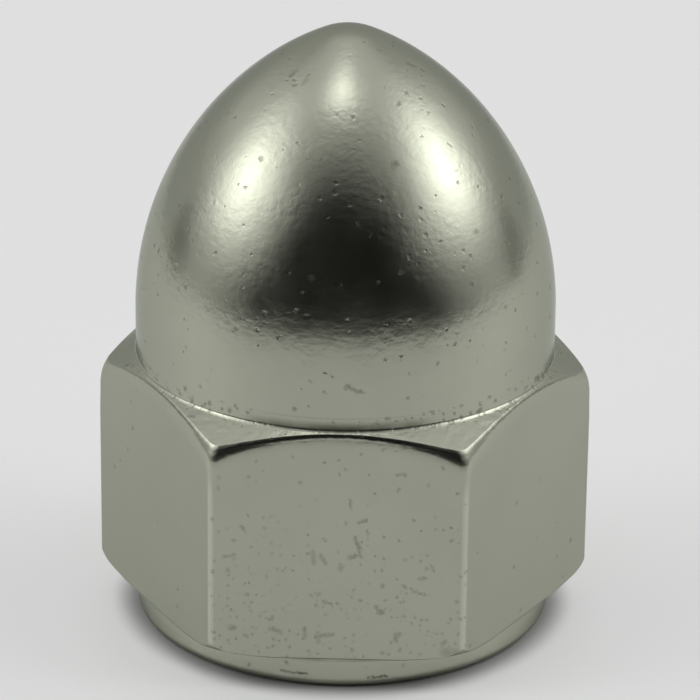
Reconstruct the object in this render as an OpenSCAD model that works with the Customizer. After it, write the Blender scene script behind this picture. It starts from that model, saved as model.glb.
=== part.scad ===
// Cap nut with a high pointed crown, turned in one piece from hexagon steel bar and
// nickel plated. The nut stands on its bearing face at z = 0 with the thread axis on Z,
// and two of its flats are square to Y. All sizes are in millimetres.

/* [Hexagon] */
// Width across the flats, the spanner size
flats_w = 19.05; // [17:0.05:24]
// Height of the flats, measured at the middle of a flat
hex_h = 10.6; // [8:0.1:16]
// Rounding of the six upright edges, left by the plating
edge_r = 0.28; // [0.1:0.02:0.6]
// Slope of the turned cone above the flats
shoulder_angle = 32; // [20:1:45]
// Rounding that runs the upper cone into the six corners
shoulder_r = 2.3; // [0.6:0.1:3]
// Slope of the turned cone below the flats
under_angle = 14; // [5:1:30]
// Distance from the flats out to where the lower cone starts
under_start = 0.3; // [0.05:0.05:0.6]
// Rounding that runs the lower cone into the six corners
under_r = 0.85; // [0.3:0.05:1.2]

/* [Crown] */
// Step from the flats in to the foot of the crown
crown_inset = 0.24; // [0.1:0.02:1.5]
// Straight height of the crown above its foot
crown_straight = 2; // [0.6:0.1:6]
// Radius of the long arc that draws the crown in
ogive_r = 14.1; // [11.5:0.1:20]
// Radius of the blunt tip
nose_r = 3.05; // [1:0.05:6]
// Hollow rounding between the crown and the upper cone
foot_r = 0.25; // [0.1:0.01:0.4]

/* [Bearing collar] */
// Step from the flats in to the collar under the hexagon
collar_inset = 0.24; // [0.1:0.02:1]
// Height of the collar
collar_h = 1.5; // [0.8:0.1:4]
// Rounding of the collar's lower rim
rim_r = 0.45; // [0.1:0.05:0.6]

/* [Threaded hole] */
// Nominal thread diameter
thread_d = 12.7; // [8:0.1:14]
// Thread pitch, thirteen turns to the inch
thread_pitch = 1.954; // [0.75:0.001:2.5]
// Width that the countersunk mouth has over the thread, on each side
mouth_clear = 0.25; // [0.1:0.05:0.6]
// Included angle of the countersunk mouth
mouth_angle = 90; // [80:5:120]
// Included angle of the drill's point
point_angle = 118; // [100:1:140]
// Metal left between the drill's point and the tip of the crown
tip_wall = 4; // [2:0.1:9]

/* [Hidden] */
$fn = 96;
// Extra length by which a cutting shape runs out of the metal
over = 1;
// Height by which a rounding stands proud, so that its arc crosses the walls that it joins
hair = 0.0005;

flat_r = flats_w / 2;
corner_r = flats_w / sqrt(3);
crown_r = flat_r - crown_inset;
collar_r = flat_r - collar_inset;

// Lower rim of the collar.
rim_c = [collar_r - rim_r, rim_r];

// Lower cone: it leaves the collar's top at under_from and rounds up at the corners.
under_from = flat_r + under_start;
under_c = [
    corner_r - under_r,
    collar_h + (corner_r - under_r + under_r * sin(under_angle) - under_from) * tan(under_angle)
        + under_r * cos(under_angle)
];

// Upper cone: it meets the middle of a flat at hex_top.
hex_top = collar_h + hex_h;
function cone_z(r) = hex_top - (r - flat_r) * tan(shoulder_angle);
shoulder_from = corner_r - shoulder_r + shoulder_r * sin(shoulder_angle);
shoulder_c = [corner_r - shoulder_r, cone_z(shoulder_from) - shoulder_r * cos(shoulder_angle)];

// Crown: foot, straight wall, long arc and nose, each tangent to the next.
foot_reach = foot_r * tan((90 - shoulder_angle) / 2);
foot_c = [crown_r + foot_r, cone_z(crown_r) + foot_reach];
ogive_z = cone_z(crown_r) + crown_straight;
ogive_c = [crown_r - ogive_r, ogive_z];
nose_angle = acos((ogive_r - crown_r) / (ogive_r - nose_r));
nose_c = [0, ogive_z + (ogive_r - nose_r) * sin(nose_angle)];
total_h = nose_c[1] + nose_r;

// Hole: countersunk mouth, tapping-size bore and drill point.
bore_r = (thread_d - thread_pitch) / 2;
mouth_r = thread_d / 2 + mouth_clear;
mouth_h = (mouth_r - bore_r) / tan(mouth_angle / 2);
point_h = bore_r / tan(point_angle / 2);
bore_top = total_h - tip_wall - point_h;

function on_circle(c, r, a) = c + r * [cos(a), sin(a)];

// Disc that rounds a corner between two walls. It stands proud of them by a hair.
module rounding(c, r) {
    translate(c) circle(r + hair);
}

// Plan of the bar: a hexagon with rounded edges.
module bar_plan() {
    reach = (flat_r - edge_r) / cos(30);
    centres = [for (i = [0:5]) on_circle([0, 0], reach, 60 * i)];
    polygon([
        for (i = [0:5]) each [
            on_circle(centres[i], edge_r, 60 * i - 30),
            on_circle(centres[i], edge_r, 60 * i + 30)
        ]
    ]);
    for (c = centres) rounding(c, edge_r);
}

// Collar and hexagon blank, up to the straight wall of the crown.
module lower_outline() {
    difference() {
        polygon([
            [0, 0],
            [rim_c[0], 0], [collar_r, rim_r],
            [collar_r, collar_h], [under_from, collar_h],
            on_circle(under_c, under_r, under_angle - 90), [corner_r, under_c[1]],
            [corner_r, shoulder_c[1]], on_circle(shoulder_c, shoulder_r, 90 - shoulder_angle),
            on_circle(foot_c, foot_r, 270 - shoulder_angle), foot_c, [crown_r, foot_c[1]],
            [crown_r, ogive_z], [0, ogive_z]
        ]);
        rounding(foot_c, foot_r);
    }
    rounding(rim_c, rim_r);
    rounding(under_c, under_r);
    rounding(shoulder_c, shoulder_r);
}

// Long arc of the crown, up to where the nose takes over, and the nose, proud of the arc.
module crown_outline() {
    intersection() {
        rounding(ogive_c, ogive_r);
        polygon([
            [0, hex_top], [ogive_r, hex_top], [ogive_r, total_h],
            on_circle(ogive_c, 2 * ogive_r, nose_angle), nose_c
        ]);
    }
    rounding(nose_c, nose_r + hair);
}

// Half outline that the lathe leaves, from the bearing face up to the tip.
module turned_outline() {
    intersection() {
        square([corner_r + over, total_h + over]);
        union() {
            lower_outline();
            crown_outline();
        }
    }
}

// Blind hole, open at the bearing face.
module threaded_hole() {
    rotate_extrude()
        polygon([
            [0, -over],
            [mouth_r + over * tan(mouth_angle / 2), -over],
            [bore_r, mouth_h],
            [bore_r, bore_top],
            [0, bore_top + point_h]
        ]);
}

module cap_nut() {
    color([0.70, 0.70, 0.64])
        difference() {
            intersection() {
                linear_extrude(total_h + over) bar_plan();
                rotate_extrude() turned_outline();
            }
            threaded_hole();
        }
}

cap_nut();
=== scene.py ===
from math import atan2, cos, degrees, dist, pi, radians, sin, sqrt, tan

import bmesh
import bpy
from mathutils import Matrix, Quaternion, Vector


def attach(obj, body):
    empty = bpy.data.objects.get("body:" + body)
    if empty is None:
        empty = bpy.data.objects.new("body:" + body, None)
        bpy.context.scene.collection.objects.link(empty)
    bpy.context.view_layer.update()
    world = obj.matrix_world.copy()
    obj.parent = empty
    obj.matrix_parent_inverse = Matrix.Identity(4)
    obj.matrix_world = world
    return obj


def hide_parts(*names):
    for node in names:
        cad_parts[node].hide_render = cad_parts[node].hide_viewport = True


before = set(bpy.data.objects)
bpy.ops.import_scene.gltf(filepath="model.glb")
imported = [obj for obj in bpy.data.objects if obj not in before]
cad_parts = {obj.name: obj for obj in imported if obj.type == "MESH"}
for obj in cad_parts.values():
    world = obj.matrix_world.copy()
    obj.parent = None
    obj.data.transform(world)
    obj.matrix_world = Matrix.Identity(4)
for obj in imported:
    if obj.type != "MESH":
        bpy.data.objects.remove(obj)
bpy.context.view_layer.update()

# The cap nut is one piece of hexagon steel bar, nickel plated. In one setting the lathe cuts
# its bearing collar, the two cones that take the corners off the hexagon, and the pointed
# crown. The six flats are what it leaves of the bar. Sizes are in millimetres.
MM = 0.001
FLAT = 9.525  # from the axis to a flat
EDGE_R, CORNER_R = 0.42, 0.6  # rounding of the six upright edges, and of their worn tops
CROWN_R = 9.285  # straight foot of the crown
OGIVE_R, OGIVE_C = 14.1, (-4.815, 14.25)  # the long arc that draws the crown in
NOSE_R, NOSE_C, NOSE_FROM = 3.05, (0.0, 24.1957), 64.17  # the blunt tip takes over at this angle
FOOT_R, FOOT_C = 0.25, (9.535, 12.3886)  # hollow between the crown and the upper cone
UPPER_SLOPE, UPPER_Z = 32.0, 12.1  # the upper cone would meet the middle of a flat here
BREAK_R, EDGE_LEAN = 0.08, 33.0  # start of the worn edge between them
SOFT_R, SOFT_LEAN = 3.0, 10.0  # its end, which runs out softly onto the flat
WEAR_MIDDLE, WEAR_BESIDE, WEAR_CORNER = 0.5, 0.75, 0.85  # what makes up its radius
WEAR_EVENS = 0.94  # from here to the upright edge, the wear levels out
LOWER_SLOPE, LOWER_R, LOWER_C = 14.0, 0.85, (10.1485, 2.4573)  # lower cone and its corners
LEDGE_Z, LEDGE_R = 1.5, 9.825  # the lower cone starts here
COLLAR_R, COLLAR_HOLLOW, RIM_R = 9.285, 0.08, 0.45  # collar, hollow over it, lower rim
FACE_R = 6.75  # the bearing face ends here, round the countersunk hole
LOWER_SOFT = 0.13  # the plating rounds the lower edge of a flat by this


def arc(centre, radius, start, end, steps):
    """Points along an arc, from one angle to another in degrees."""
    angles = [radians(start + (end - start) * i / steps) for i in range(steps + 1)]
    return [(centre[0] + radius * cos(a), centre[1] + radius * sin(a)) for a in angles]


def even(points, steps):
    """The same line in steps of one length."""
    runs = [dist(p, q) for p, q in zip(points, points[1:])]
    out, at, i = [points[0]], 0.0, 0
    for k in range(1, steps):
        goal = sum(runs) * k / steps
        while at + runs[i] < goal:
            at, i = at + runs[i], i + 1
        t = (goal - at) / runs[i]
        out.append(tuple(a + (b - a) * t for a, b in zip(points[i], points[i + 1])))
    return out + [points[-1]]


def bar_reach(angle, edge_r):
    """Distance from the axis to the bar's side, at an angle from the middle of a flat."""
    off_edge = pi / 6 - angle
    centre = (FLAT - edge_r) / cos(pi / 6)
    if centre * sin(off_edge) < edge_r * sin(pi / 6):
        return centre * cos(off_edge) + sqrt(edge_r**2 - (centre * sin(off_edge)) ** 2)
    return FLAT / cos(angle)


def wear(t):
    """Radius of the worn edge between a flat and the cone above it. t is 0 at the middle of
    the flat and 1 at an upright edge, where the most has been worn off."""
    t -= max(0, t - WEAR_EVENS) ** 2 / (2 * (1 - WEAR_EVENS))
    return WEAR_MIDDLE + WEAR_BESIDE * t**2 + WEAR_CORNER * t**7


def upper_run(reach, radius):
    """Cone above a flat, from the crown's foot out, and the worn edge. The edge starts with a
    turn of BREAK_R down to EDGE_LEAN, goes on as an arc of this radius down to SOFT_LEAN and
    ends upright as a wide arc of SOFT_R."""
    slope, lean, soft = radians(UPPER_SLOPE), radians(EDGE_LEAN), radians(SOFT_LEAN)
    start = arc(FOOT_C, FOOT_R, 270 - UPPER_SLOPE, 270 - UPPER_SLOPE, 1)[0]
    centre_r = reach - SOFT_R + (SOFT_R - radius) * cos(soft)
    turn_r = centre_r + (radius - BREAK_R) * cos(lean)
    turn_z = UPPER_Z + (FLAT - turn_r - BREAK_R * sin(slope)) * tan(slope) - BREAK_R * cos(slope)
    turn = arc((turn_r, turn_z), BREAK_R, 90 - UPPER_SLOPE, EDGE_LEAN, 4)
    centre = (centre_r, turn_z - (radius - BREAK_R) * sin(lean))
    edge = arc(centre, radius, EDGE_LEAN, SOFT_LEAN, 10)
    centre = (reach - SOFT_R, centre[1] - (SOFT_R - radius) * sin(soft))
    end = arc(centre, SOFT_R, SOFT_LEAN, 0, 8)
    return even([start, turn[0]], 12) + turn[1:] + edge[1:] + end[1:]


def lower_run(reach, soft):
    """Cone and ledge below a flat, from the soft edge in to the collar, and the edge's disc."""
    slope = radians(LOWER_SLOPE)
    end = (COLLAR_R + COLLAR_HOLLOW, LEDGE_Z)
    r = reach - soft
    on_cone = LEDGE_Z + (r - LEDGE_R) * tan(slope) + soft / cos(slope)
    if r > LOWER_C[0] + (LOWER_R - soft) * sin(slope):
        z = LOWER_C[1] - sqrt((LOWER_R - soft) ** 2 - (r - LOWER_C[0]) ** 2)
        turn = degrees(atan2(z - LOWER_C[1], r - LOWER_C[0]))
        line = arc(LOWER_C, LOWER_R, turn, LOWER_SLOPE - 90, 16) + [(LEDGE_R, LEDGE_Z), end]
    elif on_cone > LEDGE_Z + soft:
        z, turn = on_cone, LOWER_SLOPE - 90
        line = [(r + soft * sin(slope), z - soft * cos(slope)), (LEDGE_R, LEDGE_Z), end]
    else:
        z, turn = LEDGE_Z + soft, -90
        line = [(r, LEDGE_Z), end]
    return line, (r, z), turn


def section(angle):
    """Half outline of the nut at an angle from the middle of a flat, from the tip down."""
    reach, worn = bar_reach(angle, EDGE_R), bar_reach(angle, CORNER_R)
    above = upper_run(worn, wear(6 * angle / pi))
    below, lower_c, lower_turn = lower_run(reach, LOWER_SOFT)
    top, bottom = above[-1][1], lower_c[1]
    flat = []
    for row in FLAT_ROWS:
        t = min(1, row / FADE_ROW)
        r = worn + (reach - worn) * t * t * (3 - 2 * t)
        flat.append((r, top + (bottom - top) * row))
    runs = [
        arc(NOSE_C, NOSE_R, 90, NOSE_FROM, 10),
        arc(OGIVE_C, OGIVE_R, NOSE_FROM, 0, 48),
        even([(CROWN_R, OGIVE_C[1]), (CROWN_R, FOOT_C[1])], 6),
        arc(FOOT_C, FOOT_R, 180, 270 - UPPER_SLOPE, 8),
        above,
        flat,
        arc(lower_c, LOWER_SOFT, 0, lower_turn, 6),
        even(below, 8),
        arc((COLLAR_R + COLLAR_HOLLOW, LEDGE_Z - COLLAR_HOLLOW), COLLAR_HOLLOW, 90, 180, 4),
        even([(COLLAR_R, LEDGE_Z - COLLAR_HOLLOW), (COLLAR_R, RIM_R)], 4),
        arc((COLLAR_R - RIM_R, RIM_R), RIM_R, 0, -90, 8),
        even([(COLLAR_R - RIM_R, 0), (FACE_R, 0)], 4),
    ]
    return runs[0] + [p for run in runs[1:] for p in run[1:]]


FLAT_ROWS = [0, 0.01, 0.03, 0.05, 0.07, 0.09, 0.11, 0.13, 0.16, 0.2, 0.28, 0.4, 0.55, 0.7, 0.83]
FLAT_ROWS += [0.92, 0.97, 0.994, 1]
FADE_ROW = 0.16  # the worn top of an upright edge ends here
# Columns between the middle of a flat and the middle of an upright edge, in degrees. They
# crowd at the edge's rounding, which starts 28.87 degrees from the middle of the flat.
COLUMNS = [24.0 * i / 16 for i in range(16)] + [24 + 4.8 * i / 10 for i in range(10)]
COLUMNS += [28.87 + 1.13 * i / 8 for i in range(9)]
HALF = len(COLUMNS) - 1
sections = [section(radians(a)) for a in COLUMNS]

steel = bmesh.new()
row_of = steel.verts.layers.int.new("row")
outline = []
for i, (r, z) in enumerate(sections[-1]):
    outline.append(steel.verts.new((r, 0, z)))
    outline[-1][row_of] = i
for pair in zip(outline, outline[1:]):
    steel.edges.new(pair)


def everything(body):
    """All that a mesh is made of."""
    return body.verts[:] + body.edges[:] + body.faces[:]


bmesh.ops.spin(
    steel, geom=everything(steel), axis=(0, 0, 1), cent=(0, 0, 0), angle=pi / 3, steps=2 * HALF
)

# One flat, between two upright edges: each point moves onto the section of its own column.
# The flat is then repeated round the bar.
for v in steel.verts:
    column = round(atan2(v.co.y, v.co.x) / (pi / 3) * 2 * HALF) - HALF
    angle = COLUMNS[abs(column)] * (1 if column > 0 else -1)
    r, z = sections[abs(column)][v[row_of]]
    v.co = (r * cos(radians(30 + angle)), r * sin(radians(30 + angle)), z)
bmesh.ops.spin(
    steel, geom=everything(steel), axis=(0, 0, 1), cent=(0, 0, 0), angle=5 * pi / 3, steps=5,
    use_duplicate=True,
)
bmesh.ops.remove_doubles(steel, verts=steel.verts[:], dist=1e-5)

# The hole is countersunk, drilled and then tapped 1/2-13, right-handed. The tap's taper
# leaves the last two turns shallow, under the plain end of the drilled hole.
PITCH, BORE_R, ROOT_R = 1.954, 5.373, 6.35
MOUTH_R, BORE_TOP, POINT_Z = 6.6, 20.017, 23.246
TAP_FULL, TAP_END = 15.9, 18.9
TURN = 84  # steps in one turn
CREST, ROOT = 0.4885, 0.337  # flats along the crest and at the root of the thread
FLANK = (PITCH - CREST - ROOT) / 2

tapped = bmesh.new()
thread = (
    even([(BORE_R, -CREST / 2), (BORE_R, CREST / 2)], 3)
    + even([(BORE_R, CREST / 2), (ROOT_R, CREST / 2 + FLANK)], 5)[1:]
    + even([(ROOT_R, CREST / 2 + FLANK), (ROOT_R, CREST / 2 + FLANK + ROOT)], 3)[1:]
    + even([(ROOT_R, CREST / 2 + FLANK + ROOT), (BORE_R, PITCH - CREST / 2)], 5)[1:]
)
groove = [tapped.verts.new((r, 0, z - 2 * PITCH)) for r, z in thread]
for pair in zip(groove, groove[1:]):
    tapped.edges.new(pair)
bmesh.ops.spin(
    tapped, geom=everything(tapped), axis=(0, 0, 1), cent=(0, 0, 0),
    dvec=(0, 0, PITCH / TURN), angle=2 * pi, steps=TURN,
)
turns = int(BORE_TOP / PITCH) + 4
bmesh.ops.spin(
    tapped, geom=everything(tapped), axis=(0, 0, 1), cent=(0, 0, 0), dvec=(0, 0, PITCH),
    angle=0, steps=turns - 1, use_duplicate=True,
)
bmesh.ops.remove_doubles(tapped, verts=tapped.verts[:], dist=1e-3)
for v in tapped.verts:
    r = v.co.xy.length
    left = min(1, max(0, (TAP_END - v.co.z) / (TAP_END - TAP_FULL)))
    wanted = max(BORE_R + (r - BORE_R) * left, MOUTH_R - v.co.z)
    v.co.xy *= wanted / r
for height, side in ((0, "clear_inner"), (BORE_TOP, "clear_outer")):
    bmesh.ops.bisect_plane(
        tapped, geom=everything(tapped), dist=1e-6,
        plane_co=(0, 0, height), plane_no=(0, 0, 1), **{side: True},
    )
# The drill's point closes the hole, in rings that shrink to its tip.
RINGS = 5
for i in range(RINGS):
    rim = [e for e in tapped.edges if e.is_boundary and e.verts[0].co.z > 1]
    new = bmesh.ops.extrude_edge_only(tapped, edges=rim)["geom"]
    ring = [g for g in new if isinstance(g, bmesh.types.BMVert)]
    left = 1 - (i + 1) / RINGS
    for v in ring:
        if left:
            v.co.xy *= left / (1 - i / RINGS)
            v.co.z = POINT_Z + (BORE_TOP - POINT_Z) * left
    if not left:
        bmesh.ops.pointmerge(tapped, verts=ring, merge_co=(0, 0, POINT_Z))

# Hole and outside meet at the bearing face. The whole skin is closed and faces outwards.
hole = bpy.data.meshes.new("hole")
tapped.to_mesh(hole)
tapped.free()
steel.from_mesh(hole)
bpy.data.meshes.remove(hole)
bmesh.ops.bridge_loops(steel, edges=[e for e in steel.edges if e.is_boundary])
bmesh.ops.recalc_face_normals(steel, faces=steel.faces[:])
SHARP = radians(28)
for f in steel.faces:
    f.smooth = True
for e in steel.edges:
    e.smooth = e.calc_face_angle(0) < SHARP
bmesh.ops.scale(steel, vec=(MM, MM, MM), verts=steel.verts[:])
skin = bpy.data.meshes.new("plated_nut")
steel.to_mesh(skin)
steel.free()
nut = bpy.data.objects.new("plated_nut", skin)
bpy.context.collection.objects.link(nut)


# Nickel plate, put on from a bath over the turned and rolled steel: a thin warm grey metal
# skin with a satin shine. It follows the pits in the steel, so the light breaks up in small
# dimples, and the eye sees soft-edged mirror images, darker specks and faint marks.
def colour(code):
    """sRGB hex as linear red, green, blue and 1."""
    parts = [int(code[i : i + 2], 16) / 255 for i in (1, 3, 5)]
    return [c / 12.92 if c <= 0.04045 else ((c + 0.055) / 1.055) ** 2.4 for c in parts] + [1]


def add(tree, kind, sockets=None, **settings):
    """Adds a node with its settings and gives its outputs. A socket is given a value, or an
    output to link."""
    node = tree.nodes.new("ShaderNode" + kind)
    for name, value in settings.items():
        setattr(node, name, value)
    for name, value in (sockets or {}).items():
        if isinstance(value, bpy.types.NodeSocket):
            tree.links.new(value, node.inputs[name])
        else:
            node.inputs[name].default_value = value
    return node.outputs


def fade(tree, amount, value, low, high, at_low=0.0, at_high=1.0):
    """Amount times a share that goes smoothly from at_low to at_high while value goes from low
    to high."""
    limits = {0: value, 1: low, 2: high, 3: at_low, 4: at_high}
    share = add(tree, "MapRange", limits, interpolation_type="SMOOTHSTEP")[0]
    return add(tree, "Math", {0: share, 1: amount}, operation="MULTIPLY")[0]


nickel = bpy.data.materials.new("satin_nickel_plate")
nickel.use_nodes = True
tree = nickel.node_tree
shader = tree.nodes["Principled BSDF"]
# Place on the nut in millimetres, so that a noise of scale 1 / 5 has blotches of about 5 mm.
# The camera sees the side where front is least.
place = add(tree, "TexCoord")["Object"]
place = add(tree, "VectorMath", {0: place, "Scale": 1 / MM}, operation="SCALE")[0]
axes = add(tree, "SeparateXYZ", {0: place})
up, front = axes["Z"], axes["Y"]
across = add(tree, "VectorMath", {0: place, 1: (1, 1, 0)}, operation="MULTIPLY")[0]
from_axis = add(tree, "VectorMath", {0: across}, operation="LENGTH")["Value"]
cloud = add(tree, "TexNoise", {"Vector": place, "Scale": 1 / 5, "Detail": 3})["Fac"]
patch = add(tree, "TexNoise", {"Vector": place, "Scale": 1 / 2.2, "Detail": 2})["Fac"]

# Marks have ragged outlines: every place is first moved by about 0.1 mm.
RAG = 0.32  # the most that two places can be moved apart
rag = add(tree, "TexNoise", {"Vector": place, "Scale": 1 / 0.3, "Detail": 3})["Color"]
rag = add(tree, "VectorMath", {0: rag, 1: (0.5, 0.5, 0.5)}, operation="SUBTRACT")[0]
rag = add(tree, "VectorMath", {0: rag, "Scale": RAG}, operation="SCALE")[0]
ragged = add(tree, "VectorMath", {0: place, 1: rag}, operation="ADD")[0]
SPOT_LEAST, SPOT_RANGE = 0.72, 0.75  # spots have 0.72 to 1.47 times the radius asked for


def spots(tree, place, apart, radius, share):
    """1 in round spots of about this radius, 0 between them. Spots are as far apart as the cells
    of the pattern, in millimetres, and share of the cells have one."""
    cells = add(tree, "TexVoronoi", {"Vector": place, "Scale": 1 / apart})
    pick = add(tree, "SeparateColor", {0: cells["Color"]})
    sizes = {0: pick["Green"], 1: SPOT_RANGE, 2: SPOT_LEAST}
    size = add(tree, "Math", sizes, operation="MULTIPLY_ADD")[0]
    size = add(tree, "Math", {0: size, 1: radius / apart}, operation="MULTIPLY")[0]
    off = add(tree, "Math", {0: cells["Distance"], 1: size}, operation="DIVIDE")[0]
    shown = add(tree, "Math", {0: pick["Red"], 1: share}, operation="LESS_THAN")[0]
    return fade(tree, shown, off, 1.0, 0.2)


# Rust pits in the steel show through the plate as small dark spots: most of them sit low on
# the front flat and round the crown's foot. Wider and shallower dents lie all over the nut.
low = fade(tree, 1.0, up, 9, 4, 0.14, 0.75)
low = fade(tree, low, front, -9.3, -9.45, 0.04, 1.0)
high = fade(tree, 0.1, up, 11.9, 12.1)
foot = fade(tree, 1.0, up, 11.9, 12.3)
foot = fade(tree, foot, up, 13.1, 12.6)
share = add(tree, "Math", {0: low, 1: high}, operation="MAXIMUM")[0]
share = add(tree, "Math", {0: share, 1: foot}, operation="MAXIMUM")[0]
share = fade(tree, share, patch, 0.35, 0.5, 0.3, 1.0)
pits = spots(tree, ragged, 0.32, 0.125, share)
dents = spots(tree, ragged, 0.8, 0.15, 0.28)

# Marks that can be told one by one, each with its two ends, its width and how dark it is. On
# the front flat, an end is so far to the right of the middle and so high.
FLAT_MARKS = [
    ((0.75, 7.4), (0.95, 6.9), 0.15, 0.4),
    ((0.95, 6.9), (1.0, 6.4), 0.12, 0.3),
    ((0.55, 6.45), (0.8, 6.55), 0.19, 0.42),
    ((0.9, 8.1), (1.25, 8.25), 0.13, 0.34),
    ((0.55, 9.15), (0.55, 8.8), 0.13, 0.32),
    ((2.5, 10.4), (2.85, 10.4), 0.11, 0.34),
    ((2.55, 9.6), (2.6, 9.75), 0.14, 0.3),
    ((-4.15, 7.8), (-3.95, 7.55), 0.13, 0.32),
    ((-4.85, 6.35), (-4.45, 6.45), 0.14, 0.26),
    ((-1.05, 6.65), (-1.0, 6.2), 0.19, 0.26),
    ((-0.7, 6.5), (-0.5, 6.15), 0.14, 0.3),
    ((0.1, 5.85), (0.2, 6.0), 0.2, 0.26),
    ((-0.6, 4.35), (-0.25, 4.2), 0.13, 0.3),
    ((1.65, 4.15), (1.95, 3.8), 0.16, 0.36),
    ((-2.85, 3.0), (-2.4, 2.8), 0.19, 0.3),
    ((-4.6, 2.95), (-4.45, 2.95), 0.2, 0.34),
    ((-1.4, 3.0), (-1.35, 2.6), 0.15, 0.3),
    ((-0.9, 2.6), (-0.15, 2.75), 0.15, 0.3),
    ((-0.8, 2.8), (-0.8, 2.4), 0.2, 0.22),
    ((3.5, 5.5), (3.8, 5.55), 0.13, 0.32),
    ((3.55, 4.8), (3.75, 4.8), 0.14, 0.32),
    ((2.55, 2.6), (2.7, 2.85), 0.18, 0.32),
    ((4.0, 6.15), (4.2, 5.9), 0.13, 0.28),
    ((4.75, 2.0), (5.2, 2.0), 0.38, 0.26),
    ((4.6, 2.4), (4.7, 2.5), 0.2, 0.3),
]
# On what has been turned, an end is so many degrees to the right of the front and so high.
TURNED_MARKS = [
    ((2, 14.3), (5.5, 14.1), 0.19, 0.46),
    ((20, 23.05), (21.5, 23.15), 0.24, 0.5),
    ((-46, 25.75), (-45, 25.9), 0.22, 0.42),
    ((62.5, 26.05), (66, 25.9), 0.2, 0.34),
    ((-32, 25.65), (-31, 25.75), 0.22, 0.26),
    ((-7.5, 22.65), (2, 22.7), 0.11, 0.35),
    ((44.5, 20.1), (45, 20.1), 0.2, 0.42),
    ((8.5, 12.5), (10, 12.55), 0.18, 0.62),
    ((11.5, 12.45), (13, 12.5), 0.15, 0.5),
    ((39.5, 12.4), (40.5, 12.4), 0.18, 0.52),
    ((65, 12.55), (67, 12.5), 0.22, 0.62),
    ((69.5, 12.45), (70.5, 12.4), 0.18, 0.58),
    ((-78.5, 11.95), (-78.5, 12.0), 0.2, 0.5),
    ((-41.5, 11.95), (-40, 12.0), 0.16, 0.36),
    ((-15, 0.65), (-8, 0.65), 0.12, 0.75),
    ((9, 0.55), (14, 0.5), 0.12, 0.75),
    ((-13.5, 1.1), (-13.5, 1.05), 0.16, 0.42),
]


def on_turned(side, z):
    """Point on the collar, the upper cone or the crown below the nose."""
    if z < LEDGE_Z:
        r = COLLAR_R
    elif z < UPPER_Z:
        r = FLAT + (UPPER_Z - z) / tan(radians(UPPER_SLOPE))
    elif z < OGIVE_C[1]:
        r = CROWN_R
    else:
        r = OGIVE_C[0] + sqrt(OGIVE_R**2 - (z - OGIVE_C[1]) ** 2)
    return r * sin(radians(side)), -r * cos(radians(side)), z


def on_flat(side, z):
    """Point on the front flat."""
    return side, -FLAT, z


lines = [(on_flat(*a), on_flat(*b), width, dark) for a, b, width, dark in FLAT_MARKS]
lines += [(on_turned(*a), on_turned(*b), width, dark) for a, b, width, dark in TURNED_MARKS]
marks = 0.0
for start, end, width, dark in lines:
    run = Vector(end) - Vector(start)
    part = run / run.length_squared
    off = add(tree, "VectorMath", {0: ragged, 1: start}, operation="SUBTRACT")[0]
    along = add(tree, "VectorMath", {0: off, 1: part}, operation="DOT_PRODUCT")["Value"]
    along = add(tree, "Clamp", {0: along})[0]
    nearest = add(tree, "VectorMath", {0: run, "Scale": along}, operation="SCALE")[0]
    gap = add(tree, "VectorMath", {0: off, 1: nearest}, operation="DISTANCE")["Value"]
    mark = fade(tree, dark, gap, width * 0.95, width * 0.15)
    marks = add(tree, "Math", {0: marks, 1: mark}, operation="MAXIMUM")[0]
blotch = add(tree, "TexNoise", {"Vector": place, "Scale": 1 / 0.12, "Detail": 1})["Fac"]
marks = fade(tree, marks, blotch, 0.3, 0.6, 0.55, 1.0)

# Painted shade on the front side: a dark band in the corner at the crown's foot, which ends in a
# faint ring mark. A thin line of painted shade darkens the ledge and collar just under the lower
# edge of the flats.
RING_Z = 12.83
painted_shade_and_ring = fade(tree, 1.0, up, 12.25, 12.35)
painted_shade_and_ring = fade(tree, painted_shade_and_ring, up, 12.8, 12.3)
painted_shade_and_ring = fade(tree, painted_shade_and_ring, patch, 0.3, 0.5, 0.5, 0.9)
ring = add(tree, "Math", {0: up, 1: RING_Z}, operation="SUBTRACT")[0]
ring = add(tree, "Math", {0: ring}, operation="ABSOLUTE")[0]
ring = fade(tree, 0.12, ring, 0.07, 0.02)
painted_shade_and_ring = add(tree, "Math", {0: painted_shade_and_ring, 1: ring}, operation="ADD")[0]
seam_shade = fade(tree, 1.0, up, 1.24, 1.36)
seam_shade = fade(tree, seam_shade, up, 1.6, 1.5)
seam_shade = fade(tree, seam_shade, patch, 0.35, 0.55, 0.1, 0.34)
painted_shade_and_ring = add(tree, "Math", {0: painted_shade_and_ring, 1: seam_shade}, operation="MAXIMUM")[0]
# The painted shade and the ring are kept to the front side.
painted_shade_and_ring = fade(tree, painted_shade_and_ring, front, -8.2, -9.1)

# The six upright edges have a lighter plate colour: a painted highlight that brightens their
# reflections. Pits, marks, the faint ring and the painted shade are darker and duller than the
# plate.
EDGE_HIGHLIGHT_FROM, EDGE_HIGHLIGHT_TO = 10.895, 10.93  # the middle of an edge lies just beyond
edge_highlight = fade(tree, 0.4, from_axis, EDGE_HIGHLIGHT_FROM, EDGE_HIGHLIGHT_TO)
dull = fade(tree, pits, up, 12, 12.3, 0.29, 0.42)
dull = add(tree, "Math", {0: dull, 1: marks}, operation="MAXIMUM")[0]
# painted shade at the crown's foot and under the flats, with the ring mark
dull = add(tree, "Math", {0: dull, 1: painted_shade_and_ring}, operation="MAXIMUM")[0]
plain = {0: cloud, 6: colour("#a5a898"), 7: colour("#adb0a0")}
tone = add(tree, "Mix", plain, data_type="RGBA")[2]
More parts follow.
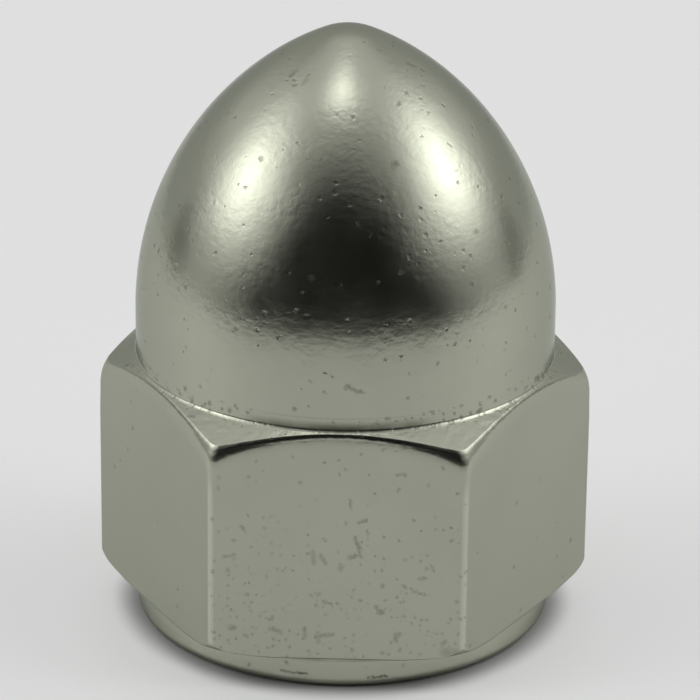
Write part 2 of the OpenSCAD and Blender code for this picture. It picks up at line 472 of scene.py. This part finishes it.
# Lighter colour on the upright edges: a painted highlight.
tone = add(tree, "Mix", {0: edge_highlight, 6: tone, 7: colour("#c6c8ba")}, data_type="RGBA")[2]
tone = add(tree, "Mix", {0: dull, 6: tone, 7: colour("#4c4a3c")}, data_type="RGBA")[2]
shine = fade(tree, 1.0, patch, 0.3, 0.7, 0.2, 0.24)
shine = add(tree, "Math", {0: dull, 1: 0.2, 2: shine}, operation="MULTIPLY_ADD")[0]
tree.links.new(tone, shader.inputs["Base Color"])
tree.links.new(shine, shader.inputs["Roughness"])
shader.inputs["Metallic"].default_value = 1
shader.inputs["Specular Tint"].default_value = colour("#d8dad6")

# Height of the skin in millimetres: a fine grain all over, faint streaks round the crown, chips
# on the collar's rim and the upper cone, and the pits and dents, which go in.
PIT_DEPTH, DENT_DEPTH = 0.008, 0.0042
grain = add(tree, "TexNoise", {"Vector": place, "Scale": 1 / 0.34, "Detail": 2})["Fac"]
grain = fade(tree, grain, patch, 0.35, 0.6, 0.004, 0.012)
pressed = add(tree, "VectorMath", {0: place, 1: (1, 1, 3)}, operation="MULTIPLY")[0]
streaks = add(tree, "TexNoise", {"Vector": pressed, "Scale": 1 / 0.9, "Detail": 2})["Fac"]
streaks = fade(tree, streaks, up, 12.5, 16, 0.001, 0.004)
# The height at which a cone of the upper cone's slope through this place meets the axis.
STEEP = tan(radians(UPPER_SLOPE))
CONE_PEAK = UPPER_Z + FLAT * STEEP
peak = add(tree, "Math", {0: from_axis, 1: STEEP, 2: up}, operation="MULTIPLY_ADD")[0]
on_cone = fade(tree, 0.02, peak, CONE_PEAK - 0.2, CONE_PEAK - 0.05)
on_cone = fade(tree, on_cone, up, 12.3, 12.2)
on_rim = fade(tree, 0.03, up, 0.7, 0.3)
chipped = add(tree, "Math", {0: on_rim, 1: on_cone}, operation="ADD")[0]
chips = add(tree, "TexNoise", {"Vector": place, "Scale": 1 / 0.45, "Detail": 3})["Fac"]
height = add(tree, "Math", {0: grain, 1: streaks}, operation="ADD")[0]
height = add(tree, "Math", {0: chips, 1: chipped, 2: height}, operation="MULTIPLY_ADD")[0]
height = add(tree, "Math", {0: pits, 1: -PIT_DEPTH, 2: height}, operation="MULTIPLY_ADD")[0]
height = add(tree, "Math", {0: dents, 1: -DENT_DEPTH, 2: height}, operation="MULTIPLY_ADD")[0]
bump = add(tree, "Bump", {"Height": height, "Distance": MM})["Normal"]
tree.links.new(bump, shader.inputs["Normal"])
skin.materials.append(nickel)
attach(nut, "root")
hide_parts("cap_nut")

# Studio floor: a round light table of white acrylic. Its soft glow is painted light in its
# material, so that the nut throws only a faint shadow. The glow is held back in a ring round the
# nut: a painted contact shadow.
TABLE_R = 0.18
TABLE_Z = -0.00002  # just under the nut, so that the two don't touch
table = bmesh.new()
bmesh.ops.create_circle(table, cap_ends=True, radius=TABLE_R, segments=96)
top = bpy.data.meshes.new("floor")
table.to_mesh(top)
table.free()
floor = bpy.data.objects.new("floor", top)
floor.location.z = TABLE_Z
bpy.context.collection.objects.link(floor)
acrylic = bpy.data.materials.new("white_acrylic")
acrylic.use_nodes = True
tree = acrylic.node_tree
shader = tree.nodes["Principled BSDF"]
place = add(tree, "TexCoord")["Object"]
away = add(tree, "VectorMath", {0: place}, operation="LENGTH")["Value"]
# Painted light and shadow: the floor glows, except close round the nut, where a painted contact
# shadow stays dark.
glow = fade(tree, 0.33, away, 9.2 * MM, 10.6 * MM)
tree.links.new(glow, shader.inputs["Emission Strength"])
shader.inputs["Emission Color"].default_value = (1, 1, 1, 1)
shader.inputs["Base Color"].default_value = colour("#b8b8b8")
shader.inputs["Roughness"].default_value = 0.45
top.materials.append(acrylic)

# Camera: it looks down on the nut from far off, almost square to the front flat, and leans by
# two thirds of a degree.
CAM_SIDE, CAM_UP, CAM_ROLL, CAM_AWAY = -88.578, 23.176, 0.66, 0.19544
centre = Vector((0, 0, 0.0116))
aim = Vector((0.000213, 0.000177, 0.012002))


def direction(side, up):
    """Unit vector at an angle round Z from X and an angle above the floor, in degrees."""
    side, up = radians(side), radians(up)
    return Vector((cos(up) * cos(side), cos(up) * sin(side), sin(up)))


lens = bpy.data.cameras.new("camera")
lens.sensor_width, lens.lens = 36, 226.06
lens.clip_start, lens.clip_end = 0.01, 10
camera = bpy.data.objects.new("camera", lens)
camera.location = centre + CAM_AWAY * direction(CAM_SIDE, CAM_UP)
look = (aim - camera.location).to_track_quat("-Z", "Y")
camera.rotation_euler = (look @ Quaternion((0, 0, 1), radians(CAM_ROLL))).to_euler()
bpy.context.collection.objects.link(camera)
bpy.context.scene.camera = camera

# Studio light: a soft box on each side and one overhead, each brightest at its middle. Behind
# each is a lamp, which shines through a square of white cloth.
BOX_AWAY = 0.5
BOX_FADE = 3.0  # how fast the cloth darkens from its middle to its rim


def soft_box(name, side, up, size, radiance):
    """Lit cloth that faces the nut. side is an angle from the camera's side."""
    lamp = bpy.data.lights.new(name, "AREA")
    lamp.shape, lamp.size = "SQUARE", size
    lamp.energy = pi * size * size  # a radiance of 1, which the nodes then change
    lamp.use_nodes = True
    tree = lamp.node_tree
    spot = add(tree, "NewGeometry")["Parametric"]
    off = add(tree, "VectorMath", {0: spot, 1: (0.5, 0.5, 0)}, operation="SUBTRACT")[0]
    off = add(tree, "VectorMath", {0: off, 1: (2, 2, 0)}, operation="MULTIPLY")[0]
    far = add(tree, "VectorMath", {0: off}, operation="LENGTH")["Value"]
    near = add(tree, "Math", {0: 1.0, 1: far}, operation="SUBTRACT", use_clamp=True)[0]
    glow = add(tree, "Math", {0: near, 1: BOX_FADE}, operation="POWER")[0]
    glow = add(tree, "Math", {0: glow, 1: radiance}, operation="MULTIPLY")[0]
    tree.links.new(glow, tree.nodes["Emission"].inputs["Strength"])
    box = bpy.data.objects.new(name, lamp)
    box.location = centre + BOX_AWAY * direction(CAM_SIDE + side, up)
    box.rotation_euler = (centre - box.location).to_track_quat("-Z", "Y").to_euler()
    bpy.context.collection.objects.link(box)


soft_box("left_box", -82, 34, 0.79, 3.5)
soft_box("right_box", 87.5, 36.5, 0.79, 3.9)
soft_box("top_box", -50, 85, 0.4, 2.6)

# The room is pale and a little brighter overhead and on both sides. Where the camera stands it
# is dark, up to an arch that comes down on either side.
DARK, PALE = 0.008, 0.5
ARCH_FROM, ARCH_TO, ARCH_BEND = 0.62, 1.2, 1.08
room = bpy.data.worlds.new("room")
room.use_nodes = True
bpy.context.scene.world = room
tree = room.node_tree
way = add(tree, "TexCoord")["Generated"]
height = add(tree, "SeparateXYZ", {0: way})["Z"]


def towards(side):
    """How far a look goes to this angle from the camera's side: 1 is there, -1 is opposite."""
    there = direction(CAM_SIDE + side, 0)
    return add(tree, "VectorMath", {0: way, 1: there}, operation="DOT_PRODUCT")["Value"]


behind, beside = towards(180), towards(90)
arch = add(tree, "Math", {0: beside, 1: beside}, operation="MULTIPLY")[0]
arch = add(tree, "Math", {0: arch, 1: ARCH_BEND, 2: height}, operation="MULTIPLY_ADD")[0]
arch = fade(tree, 1.0, arch, ARCH_FROM, ARCH_TO, DARK, PALE)
level = fade(tree, 1.0, behind, -0.35, -0.1, DARK, PALE)
level = add(tree, "Math", {0: arch, 1: level}, operation="MAXIMUM")[0]
sides = add(tree, "Math", {0: beside}, operation="ABSOLUTE")[0]
sides = fade(tree, 0.6, sides, 0.4, 0.75)
sides = fade(tree, sides, height, 0.15, 0.45)
lift = fade(tree, 1.0, height, sin(radians(42)), sin(radians(80)), 1.0, 1.68)
lift = add(tree, "Math", {0: lift, 1: sides}, operation="ADD")[0]
glow = add(tree, "Math", {0: level, 1: lift}, operation="MULTIPLY")[0]
# A lamp stand on each side shows as a dark spot at the horizon.
STAND_SIDE = 111
left, right = towards(-STAND_SIDE), towards(STAND_SIDE)
stands = add(tree, "Math", {0: left, 1: right}, operation="MAXIMUM")[0]
glow = fade(tree, glow, stands, cos(radians(12)), cos(radians(3)), 1.0, 0.5)
tree.links.new(glow, tree.nodes["Background"].inputs["Strength"])
tree.nodes["Background"].inputs["Color"].default_value = (1, 1, 1, 1)
bpy.context.scene.view_settings.view_transform = "Standard"
